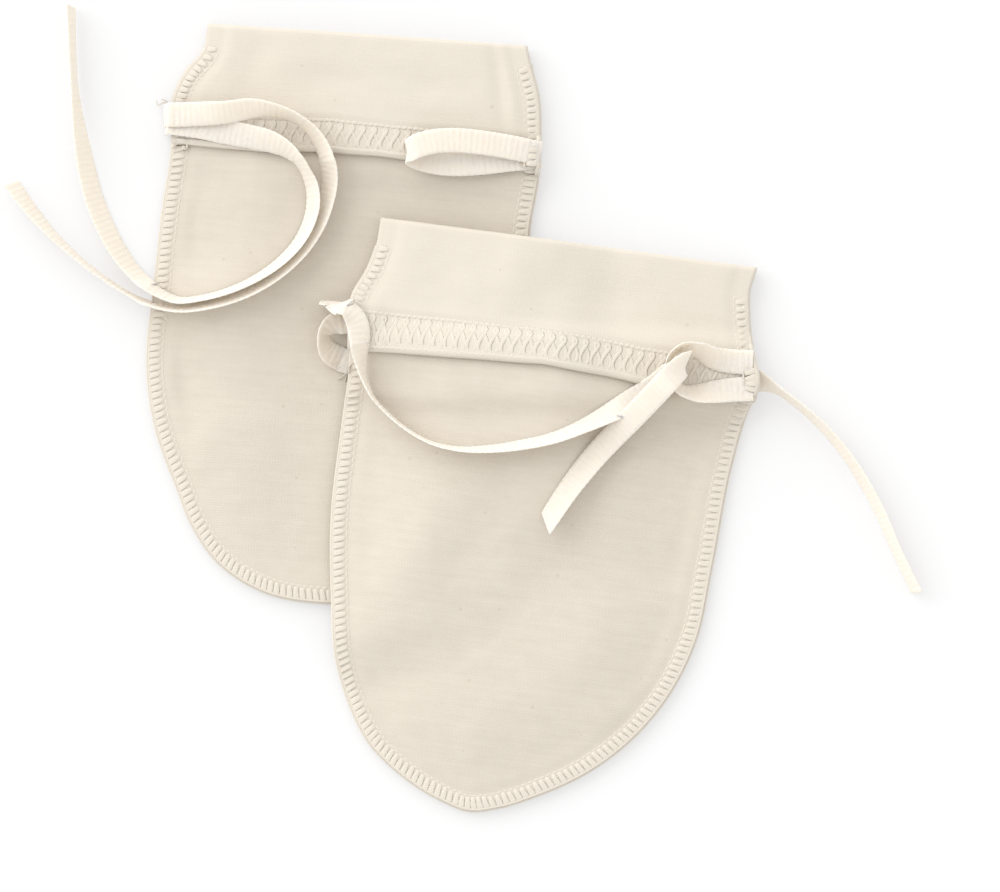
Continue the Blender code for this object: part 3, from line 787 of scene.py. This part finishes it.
def strand(points, ups, wide, high, around=THREAD_SIDES):
    """Points, faces and flat places of a thread of oval section along a line.

    The half widths, and the way up, are each one for the whole line or one for each point.
    """
    wide, high = (np.reshape(size, (-1, 1, 1)) * np.ones((len(points), 1, 1)) for size in (wide, high))
    ahead = unit(np.gradient(points, axis=0))
    side = unit(np.cross(ahead, ups))
    up = np.cross(side, ahead)
    angle = np.linspace(0.0, 2 * math.pi, around, endpoint=False)
    ring = np.cos(angle)[:, None] * side[:, None, :] * wide
    ring = ring + np.sin(angle)[:, None] * up[:, None, :] * high
    skin = (points[:, None, :] + ring).reshape(-1, 3)
    run = np.repeat(run_along(points), around)
    girth = (angle * wide[:, :, 0]).ravel()
    return skin, ring_faces(len(points), around), np.column_stack([girth, run])


def join_strands(name, strands, material):
    """One piece from many strands."""
    points, faces, flat, base = [], [], [], 0
    for skin, quads, places in strands:
        points.append(skin)
        flat.append(places)
        faces.extend(tuple(i + base for i in face) for face in quads)
        base += len(skin)
    return build_mesh(name, np.concatenate(points), faces, np.concatenate(flat), material)


# --- tapes ---


def tape_route(tape):
    """Middle line of a tape in space, and the direction of its width at each point.

    A tape with a given direction across keeps it round its bends; the others lean by the
    turn of their stops.
    """
    rows = smooth(tape.stops, TAPE_SAMPLES)
    plan, lift, turn = rows[:, :2], rows[:, 2], np.radians(rows[:, 3])
    heading = unit(np.gradient(np.column_stack([plan, lift]), axis=0))
    sides = []
    for ahead, lean in zip(heading, turn):
        if tape.across is None:
            level = np.array([-ahead[1], ahead[0], 0.0])
            if sides and (np.linalg.norm(level) < STEEPEST or level @ flat < 0):
                level = flat if np.linalg.norm(level) < STEEPEST else -level
        else:
            level = np.array(tape.across) - ahead * (ahead @ np.array(tape.across))
        flat = level / np.linalg.norm(level)
        sides.append(math.cos(lean) * flat + math.sin(lean) * np.cross(ahead, flat))
    sides = np.array(sides)
    reach = FELT_ACROSS[:, None] * (TAPE_WIDTH / 2 + TAPE_GAP)
    foot = plan[:, None, :] + reach * sides[:, None, :2]
    under = top_height(tape.rests_on, foot[..., 0], foot[..., 1]).max(1)
    for _ in range(TAUT_PASSES):
        under[1:-1] = np.maximum(under[1:-1], (under[:-2] + under[2:]) / 2)
    half = np.abs(np.sin(turn)) * TAPE_WIDTH / 2 + np.cos(turn) * TAPE / 2
    return np.column_stack([plan, under + TAPE_GAP + half + lift]), sides


def build_tape(tape, material):
    """A ribbed tape along its route, with a bare end cut on a slant."""
    middle, sides = tape_route(tape)
    run = run_along(middle)
    steps = int(run[-1] / RIB * RIB_STEPS)
    at = np.linspace(0.0, run[-1], steps + 1)
    middle, sides = read_at(middle, run, at), read_at(sides, run, at)
    ahead = unit(np.gradient(middle, axis=0))
    sides = unit(sides - ahead * (sides * ahead).sum(1)[:, None])
    up = np.cross(ahead, sides)

    count = len(FACE_ACROSS)
    across_tape = np.concatenate([FACE_ACROSS, -FACE_ACROSS])
    swell = np.sqrt(1.0 - (EDGE_ROUND * np.abs(across_tape)) ** 6) * np.repeat([1.0, -1.0], count)
    swell[[0, count]] = 0.0
    rib = np.cos(2 * math.pi * at / RIB)
    half_width = TAPE_WIDTH / 2 * (1.0 + RIB_SWELL * rib)
    half_thick = TAPE / 2 + RIB_RISE * (rib - 1.0) / 2
    points = middle[:, None, :] + (half_width[:, None] * across_tape)[..., None] * sides[:, None, :]
    points += (half_thick[:, None] * swell)[..., None] * up[:, None, :]
    if tape.far_end == "bare":
        cut = tape.slant * np.clip((at - at[-1]) / END_REACH + 1.0, 0.0, 1.0) ** 2
        points += (cut[:, None] * across_tape)[..., None] * ahead[:, None, :]
    around = len(across_tape)
    flat = np.column_stack([np.tile(across_tape * TAPE_WIDTH / 2, len(at)), np.repeat(at, around)])
    faces = ring_faces(len(at), around)
    piece = build_mesh(f"{tape.name}_tape", points.reshape(-1, 3), faces, flat, material)
    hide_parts(tape.name)


FELT_ACROSS = np.linspace(-1.0, 1.0, 5)  # where across its width a tape feels what is under it
TAUT_PASSES = 36  # each lifts the tape a little further out of the dips along its route
FACE_ACROSS = np.array([-1.0, -0.94, -0.7, -0.35, 0.0, 0.35, 0.7, 0.94])  # points of one face
EDGE_ROUND = 0.92  # nearer 1, the tape is thinner at its edges
RIB_SWELL = 0.012  # share by which a rib is wider
END_REACH = 5.0  # length of tape over which a slanted end is drawn out
STEEPEST = 0.3  # a route whose level part is shorter than this goes straight up or down


# --- jersey panels ---


def spoke(edge, centre, count):
    """Points from the seam to the middle, closer together in the overlocked margin."""
    inner = SEAM_WIDTH / np.linalg.norm(centre - edge)
    margin = np.linspace(0.0, inner, MARGIN_STEPS + 1)[:-1]
    shares = np.concatenate([margin, np.linspace(inner, 1.0, count)])
    return edge + shares[:, None] * (centre - edge)


def fan(before, after):
    """Faces between two spokes that share their last point."""
    steps = range(len(before) - 2)
    quads = [(before[i], before[i + 1], after[i + 1], after[i]) for i in steps]
    return [*quads, (before[-2], before[-1], after[-2])]


def panel_plan(mitten):
    """The panel's mesh laid out flat: x and down, share of the turn outward, and the faces.

    Rows run from seam to seam, from the raw edge up to the cuff fold and down the body to
    the round of the toe, where spokes fan out from the middle of the last row. The run is
    each point's length from the cuff fold along the cloth, negative on the turned cuff.
    """
    seam = seam_line(mitten)
    tip = int(np.argmax(seam[:, 1]))
    left, right = seam[: tip + 1], seam[tip:][::-1]
    round_from = mitten.round_from
    radius = PITCH / 2
    hem = np.linspace(HEM_DEPTH, radius, round(HEM_DEPTH / CLOTH_STEP) + 1)
    turn = np.linspace(math.pi, 0.0, FOLD_STEPS + 1)[1:-1]
    body = np.linspace(HEM_DEPTH, round_from, round((round_from - HEM_DEPTH) / CLOTH_STEP) + 1)
    downs = np.concatenate([hem, radius * (1 - np.sin(turn)), hem[::-1], body[1:]])
    unturned = np.zeros(len(hem) + len(body) - 1)
    turned = np.concatenate([np.ones(len(hem)), (1 - np.cos(turn)) / 2, unturned])
    fold = len(hem) + len(turn) // 2
    lengths = np.concatenate([-downs[:fold], downs[fold:]])

    half = int((mitten.sections[0].left + mitten.sections[0].right) / 2 / CLOTH_STEP)
    points, shares, runs, faces = [], [], [], []
    for down, share, length in zip(downs, turned, lengths):
        ends = [np.array([np.interp(down, side[:, 1], side[:, 0]), down]) for side in (left, right)]
        middle = sum(ends) / 2
        row = np.concatenate([spoke(ends[0], middle, half), spoke(ends[1], middle, half)[-2::-1]])
        points.extend(row)
        shares.extend([share] * len(row))
        runs.extend([length] * len(row))
    reach = MARGIN_STEPS + half - 1
    width = 2 * reach + 1
    for row in range(len(downs) - 1):
        for i in range(row * width, row * width + width - 1):
            faces.append((i, i + 1, i + 1 + width, i + width))

    last = (len(downs) - 1) * width
    pole = last + reach
    toe = seam[seam[:, 1] > round_from]
    toe = np.concatenate([[points[last]], toe, [points[last + width - 1]]])
    run = run_along(toe)
    at = np.linspace(0.0, run[-1], round(run[-1] / CLOTH_STEP) + 1)[1:-1]
    before = list(range(last, pole + 1))
    for edge in read_at(toe, run, at):
        first = len(points)
        made = spoke(edge, points[pole], half)[:-1]
        points.extend(made)
        runs.extend(made[:, 1])
        after = [*range(first, first + reach), pole]
        faces.extend(fan(before, after))
        before = after
    faces.extend(fan(before, list(range(last + width - 1, pole - 1, -1))))
    shares.extend([0.0] * (len(points) - len(shares)))
    return np.array(points), np.array(shares), np.array(runs), faces


def hem_curl(mitten, x, down):
    """How far the raw edge of the turned cuff curls up off the cloth under it."""
    near_edge = ease((down - HEM_DEPTH + CURL_WIDE) / CURL_WIDE)
    uneven = ripple(x, down * 0.0, CURL_WAVE, mitten.tilt + 3.0)
    return near_edge * (CURL_RISE + CURL_UNEVEN * uneven)


def stitch_relief(down):
    """The cloth drawn in at the needle lines of the cover stitch, and proud just above them."""
    return sum(rise * np.exp(-(((down - at) / wide) ** 2)) for at, wide, rise in STITCH_FOLDS)


def on_cuff(mitten, x, down):
    """Where a place of the front panel's turned cuff lies, in the mitten's own frame."""
    relief = hem_curl(mitten, x, down) + stitch_relief(down) + WALL / 2
    down = down + hem_shift(mitten, x, down)
    return down, front_height(mitten, x, down) + layer_pitch(mitten, x, down) + relief


def hem_shift(mitten, x, down):
    """How far a place on the turned cuff lies below its usual depth."""
    bow = np.array(mitten.hem)
    at_stitch, at_edge = (np.interp(x, bow[:, 0], bow[:, i]) for i in (1, 2))
    cut = at_edge + CUT_UNEVEN * ripple(x, x * 0.0, CUT_WAVE, mitten.tilt + 5.0)
    past_stitch = ease((down - COVER_TOP) / (HEM_DEPTH - COVER_TOP))
    return at_stitch * ease(down / COVER_TOP) * (1.0 - past_stitch) + cut * past_stitch


def build_panel(mitten, side, material):
    """One panel with its turned cuff, which lies outside: over a front, under a back."""
    plan, turned, run, faces = panel_plan(mitten)
    x, down = plan.T
    hem = turned >= 1.0
    relief = np.where(hem, hem_curl(mitten, x, down) + stitch_relief(down), 0.0)
    down = down + np.where(hem, hem_shift(mitten, x, down), 0.0)
    pitch = layer_pitch(mitten, x, down)
    if side == "front":
        z = front_height(mitten, x, down) + pitch * turned + relief
    else:
        z = back_height(mitten, x, down) - pitch * turned
    points = in_space(mitten, x, down, z)
    flat = np.column_stack([x, run])
    name = f"{mitten.name}_{side}_panel"
    piece = build_mesh(f"{name}_cloth", points, faces, flat, material)
    wall = piece.modifiers.new("wall", "SOLIDIFY")
    wall.thickness = WALL * MM
    wall.offset = 0.0
    wall.use_even_offset = True
    wall.use_quality_normals = True
    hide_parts(name)
    return piece


CURL_RISE = 0.28  # height of the curled raw edge, and how much it varies
CURL_UNEVEN = 0.22
CURL_WAVE = 6.0  # in waves of about this length
CURL_WIDE = 1.6  # width of the strip that curls
CUT_UNEVEN = 0.25  # how far the raw edge wanders, and the length of its waves
CUT_WAVE = 9.0
# Folds along the cover stitch: depth on the cuff, half width and rise
STITCH_FOLDS = [(COVER_TOP, 0.7, -0.16), (COVER_FOOT, 0.6, -0.16), (COVER_TOP - 1.3, 0.8, 0.16)]


# --- sewing ---


def edge_frame(seam, at):
    """Points of the seam at lengths along it, and the way inward from each."""
    run = run_along(seam)
    ahead = unit(read_at(seam, run, at + 0.5) - read_at(seam, run, at - 0.5))
    return read_at(seam, run, at), np.column_stack([ahead[:, 1], -ahead[:, 0]])


def build_overlock(mitten, material):
    """The looper thread wound round the sewn edge, the chain on its rim and the needle thread."""
    seam = seam_line(mitten)
    first, last = mitten.sewn_from[0], run_along(seam)[-1] - mitten.sewn_from[1]
    stitches = int((last - first) / OVERLOCK_PITCH)

    # once round the edge: over the top to the outside, under it and back up at the needle
    phase, uneven = stitch_phase(stitches, OVERLOCK_STEPS, mitten.tilt)
    within = phase % 1.0
    inset, level, forward = (np.interp(within, WIND[0], row) for row in WIND[1:])
    at = first + (np.floor(phase) + forward + WIND_DRIFT * uneven) * OVERLOCK_PITCH
    edge, inwards = edge_frame(seam, at)
    place = edge + (inset * (1.0 + WIND_UNEVEN * uneven))[:, None] * inwards
    top, foot = seam_faces(mitten, edge + np.maximum(inset, EDGE_INSET)[:, None] * inwards)
    middle = (top + foot) / 2
    z = middle + level * ((top - foot) / 2 + THREAD_LIFT)
    points = in_space(mitten, *place.T, z)
    heart = in_space(mitten, *(edge + SEAM_WIDTH / 2 * inwards).T, middle)
    ups = points - heart
    ups[:, 2] *= LIES_FLAT
    wide, high = (np.interp(inset, THREAD_INSET, row) for row in (THREAD_WIDE, THREAD_HIGH))
    wound = strand(points, ups, wide, high, WOUND_SIDES)

    # the chain where the loopers meet on the rim, which fills out the edge
    at = first + phase[::3] * OVERLOCK_PITCH
    edge, inwards = edge_frame(seam, at)
    top, foot = seam_faces(mitten, edge + EDGE_INSET * inwards)
    middle = (top + foot) / 2
    points = in_space(mitten, *(edge + RIM_INSET * inwards).T, middle)
    outwards = in_space(mitten, *(edge - inwards).T, middle) - points
    rim = strand(points, outwards, (top - foot) / 2 + RIM_PROUD, RIM_WIDE, CHAIN_SIDES)

    # short needle stitches that run along the inner side
    phase, uneven = stitch_phase(stitches, NEEDLE_STEPS, mitten.tilt)
    edge, inwards = edge_frame(seam, first + phase * OVERLOCK_PITCH)
    place = edge + (NEEDLE_INSET + NEEDLE_UNEVEN * uneven)[:, None] * inwards
    top, _ = seam_faces(mitten, place)
    arch = np.sin(math.pi * (phase % 1.0)) ** 0.7
    points = in_space(mitten, *place.T, top - NEEDLE_SINK + NEEDLE_ARCH * arch)
    sewn = strand(points, UP, *NEEDLE_SIZE)

    loose = [loose_end(mitten, route) for route in LOOSE_ENDS[mitten.name]]
    piece = join_strands(f"{mitten.name}_overlock", [wound, rim, sewn, *loose], material)
    return piece


def loose_end(mitten, route):
    """A cut end of thread that curls out of the seam, from a route on the table."""
    line = smooth(route, SEAM_SAMPLES)
    under = top_height([REAR, mitten], line[:, 0], line[:, 1])
    points = np.column_stack([line[:, :2], under + THREAD_RADIUS + line[:, 2]])
    return strand(points, UP, THREAD_RADIUS, THREAD_RADIUS)


def stitch_phase(stitches, steps, seed):
    """Position in a row of stitches at each point of its thread, and its unevenness there."""
    phase = np.arange(stitches * steps) / steps
    return phase, np.array([noise.noise(Vector((p * 0.7, 3.0, seed))) for p in phase])


def seam_faces(mitten, place):
    """Top and underside of the sewn layers at places near the edge."""
    x, down = place.T
    turned = np.where(down < HEM_DEPTH, layer_pitch(mitten, x, down), 0.0)
    top = front_height(mitten, x, down) + turned + WALL / 2
    foot = back_height(mitten, x, down) - turned - WALL / 2
    for name, (root_x, root_y), reach, layers in TAPE_ROOTS:
        if name == mitten.name:
            east, north = to_table(mitten, x, down)
            near = 1.0 - ease((np.abs(north - root_y) - reach) / ROOT_SLOPE)
            top = top + np.where(np.abs(east - root_x) < ROOT_REACH, near * layers * TAPE_PITCH, 0.0)
    return top, foot


UP = (0.0, 0.0, 1.0)
THREAD_INSET = (1.3, 3.0)  # the looper thread flattens from where the needle catches it to the rim
THREAD_WIDE = (0.70, 0.42)  # its half widths at these distances in from the edge
THREAD_HIGH = (0.08, 0.13)
THREAD_LIFT = 0.02  # height of its middle over the cloth
WOUND_SIDES = 8  # points round it, and round the chain on the rim
CHAIN_SIDES = 12
WIND_DRIFT = 0.06  # unevenness of its turns along the seam, and in their distance from the edge
WIND_UNEVEN = 0.08
LIES_FLAT = 2.5  # how much more it lies on the faces of the seam than round the rim
EDGE_INSET = 0.3  # the seam's thickness is measured at least this far in
NEEDLE_INSET = SEAM_WIDTH - 0.15  # line of the needle stitches, and how far they stray from it
NEEDLE_UNEVEN = 0.1
NEEDLE_SINK = 0.18  # depth of their ends in the cloth, and rise of their middles from there
NEEDLE_ARCH = 0.16
NEEDLE_SIZE = (0.22, 0.12)  # half widths
RIM_INSET = 0.45  # place and half width of the chain on the rim
RIM_WIDE = 0.72
RIM_PROUD = 0.06  # how far it stands over the cloth
# One turn of the looper thread: its phase, and there its distance in from the edge, its level
# from -1 on the underside to 1 on top, and its share of the step to the next stitch
WIND = [
    [0.0, 0.08, 0.20, 0.38, 0.50, 0.56, 0.62, 0.74, 0.90, 1.0],
    [3.2, 2.8, 1.9, 0.6, 0.0, -0.1, 0.1, 1.2, 2.8, 3.2],
    [0.5, 1.0, 1.05, 0.95, 0.5, 0.0, -0.6, -0.85, -0.85, 0.5],
    [0.0, 0.04, 0.12, 0.28, 0.40, 0.48, 0.55, 0.70, 0.92, 1.0],
]
THREAD_RADIUS = 0.13
# Routes of the loose ends of thread on the table, and their lift
LOOSE_ENDS = {
    "rear_mitten": [
        [(-59.4, 65.0, 0.0), (-60.6, 65.8, 0.3), (-61.6, 65.2, 0.5), (-62.1, 66.2, 0.4)],
        [(-59.5, 65.3, 0.1), (-60.0, 66.1, 0.4), (-60.9, 66.5, 0.7)],
    ],
    "front_mitten": [
        [(-20.9, 10.6, 0.0), (-22.3, 9.7, 0.3), (-23.3, 10.2, 0.5), (-24.3, 9.3, 0.2)],
        [(-21.1, 10.1, 0.1), (-22.5, 8.5, 0.4), (-23.9, 7.7, 0.1)],
        [(-21.0, 9.6, 0.0), (-21.8, 8.8, 0.2), (-22.4, 7.2, 0.1)],
    ],
}
ROOT_SLOPE = 0.9  # width over which the overlock climbs on to a tape caught in it
ROOT_REACH = 8.0
# Where a loop is caught under the overlock: mitten, place on the table, half its width there
# and layers of tape
TAPE_ROOTS = [
    ("rear_mitten", (19.2, 54.4), 2.2, 1.9),
    ("front_mitten", (62.8, 8.4), 4.8, 0.9),
]


def build_cover_stitch(mitten, material):
    """The looper side of the cover stitch: a net of thread between two raised needle lines."""
    left, right = half_widths(mitten, (COVER_TOP + COVER_FOOT) / 2)
    first, last = COVER_INSET - left, right - COVER_INSET
    stitches = int((last - first) / COVER_PITCH)
    phase, uneven = stitch_phase(stitches, COVER_STEPS, mitten.tilt + 1.0)
    angle = 2 * math.pi * phase
    towards_foot = (1.0 - np.cos(angle)) / 2

    # the net swings from one needle line to the other and back in each stitch
    swing = NET_TOP_SWING + (NET_FOOT_SWING - NET_TOP_SWING) * towards_foot
    x = first + COVER_PITCH * (phase + (swing + NET_DRIFT * uneven) * np.sin(2 * angle))
    down = COVER_TOP + (COVER_FOOT - COVER_TOP) * towards_foot + NET_UNEVEN * uneven
    strands = [cover_strand(mitten, x, down, NET_RISE * np.sin(angle), *NET_SIZE)]
    x = first + COVER_PITCH * phase
    rise = LINE_RISE * np.abs(np.sin(angle))
    for line, wide in NEEDLE_LINES:
        down = line + LINE_WAVE * np.cos(2 * angle) + LINE_UNEVEN * uneven
        strands.append(cover_strand(mitten, x, down, rise, wide, LINE_HIGH))
    piece = join_strands(f"{mitten.name}_cover_stitch", strands, material)
    return piece


def cover_strand(mitten, x, down, rise, wide, high):
    """A thread laid on the turned cuff."""
    down, top = on_cuff(mitten, x, down)
    return strand(in_space(mitten, x, down, top + rise), UP, wide, high)


COVER_INSET = 1.2  # distance of the first and last stitch from the seam
NET_TOP_SWING = 0.58  # sideways swing of the looper thread, as a share of a stitch
NET_FOOT_SWING = 0.18
NET_DRIFT = 0.05  # unevenness of that swing, and of the thread's place down the cuff
NET_UNEVEN = 0.15
NET_RISE = 0.03  # how far one leg of the net lies over the other
NET_SIZE = (0.46, 0.10)  # half widths
NEEDLE_LINES = [(COVER_TOP - 0.25, 0.42), (COVER_FOOT + 0.25, 0.36)]  # place and half width
LINE_HIGH = 0.14
LINE_WAVE = 0.06  # swing of each needle line in a stitch, its unevenness and its rise
LINE_UNEVEN = 0.1
LINE_RISE = 0.05


# --- the whole ---


def main():
    build_stage()
    build_camera()
    jersey, tie_tape, thread = jersey_material(), tape_material(), thread_material()

    for tape in TAPES:
        build_tape(tape, tie_tape)

    for mitten, lies_on in ((REAR, "table"), (FRONT, "rear_mitten_front_panel_cloth")):
        overlock = build_overlock(mitten, thread)
        cover = build_cover_stitch(mitten, thread)
        back = build_panel(mitten, "back", jersey)
        front = build_panel(mitten, "front", jersey)


main()
